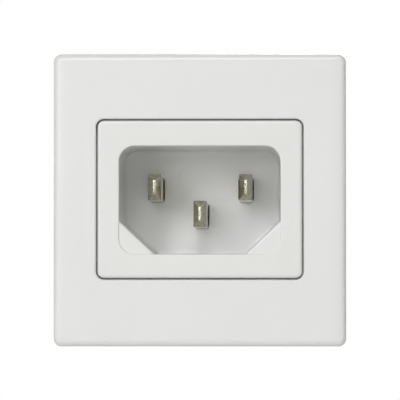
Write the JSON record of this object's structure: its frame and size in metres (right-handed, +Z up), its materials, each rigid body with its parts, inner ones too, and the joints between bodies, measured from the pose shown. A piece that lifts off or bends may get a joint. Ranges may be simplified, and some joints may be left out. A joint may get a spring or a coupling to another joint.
{
  "type": "c14 panel inlet socket",
  "caption": "Square white clip-in module with a flush inlet: bevelled blade pins in a chamfered cavity, and screw clamp wire terminals behind.",
  "frame": {"origin": "centre of the connector mouth, on the front face", "axes": "+Z up, +X to the right seen from the front, front face looking along -Y"},
  "size_m": [0.0446, 0.0345, 0.0446],
  "materials": {
    "face_plastic": "white moulded plastic, smooth satin gloss",
    "insert_plastic": "white moulded plastic, smooth satin gloss",
    "block_plastic": "white moulded plastic, fine matt",
    "pin_nickel": "nickel plated",
    "strip_brass": "plain stamped brass",
    "cage_metal": "zinc plated steel",
    "screw_steel": "zinc plated steel"
  },
  "bodies": {
    "socket": {"front_plate": "face_plastic", "inlet_body": "insert_plastic", "terminal_block": "block_plastic", "line_pin": "pin_nickel", "neutral_pin": "pin_nickel", "earth_pin": "pin_nickel", "line_strip": "strip_brass", "neutral_strip": "strip_brass", "earth_strip": "strip_brass", "block_screw_left": "screw_steel", "block_screw_right": "screw_steel"},
    "line_cage": {"line_cage": "cage_metal"},
    "line_screw": {"line_screw": "screw_steel"},
    "neutral_cage": {"neutral_cage": "cage_metal"},
    "neutral_screw": {"neutral_screw": "screw_steel"},
    "earth_cage": {"earth_cage": "cage_metal"},
    "earth_screw": {"earth_screw": "screw_steel"}
  },
  "joints": [
    {"name": "line_screw_turn", "type": "hinge", "parent": "socket", "child": "line_screw", "pos_m": [-0.0115, 0.028, 0.0079], "axis": [0, 0, -1], "range_deg": [0, 2160]},
    {"name": "line_cage_rise", "type": "slide", "parent": "socket", "child": "line_cage", "axis": [0, 0, 1], "range_m": [0, 0.003]},
    {"name": "neutral_screw_turn", "type": "hinge", "parent": "socket", "child": "neutral_screw", "pos_m": [0.0115, 0.028, 0.0079], "axis": [0, 0, -1], "range_deg": [0, 2160]},
    {"name": "neutral_cage_rise", "type": "slide", "parent": "socket", "child": "neutral_cage", "axis": [0, 0, 1], "range_m": [0, 0.003]},
    {"name": "earth_screw_turn", "type": "hinge", "parent": "socket", "child": "earth_screw", "pos_m": [0, 0.028, 0.0079], "axis": [0, 0, -1], "range_deg": [0, 2160]},
    {"name": "earth_cage_rise", "type": "slide", "parent": "socket", "child": "earth_cage", "axis": [0, 0, 1], "range_m": [0, 0.003]}
  ],
  "couplings": [
    {"joint": "line_screw_turn", "follows": "line_cage_rise", "rad_per_m": 12566},
    {"joint": "neutral_screw_turn", "follows": "neutral_cage_rise", "rad_per_m": 12566},
    {"joint": "earth_screw_turn", "follows": "earth_cage_rise", "rad_per_m": 12566}
  ]
}
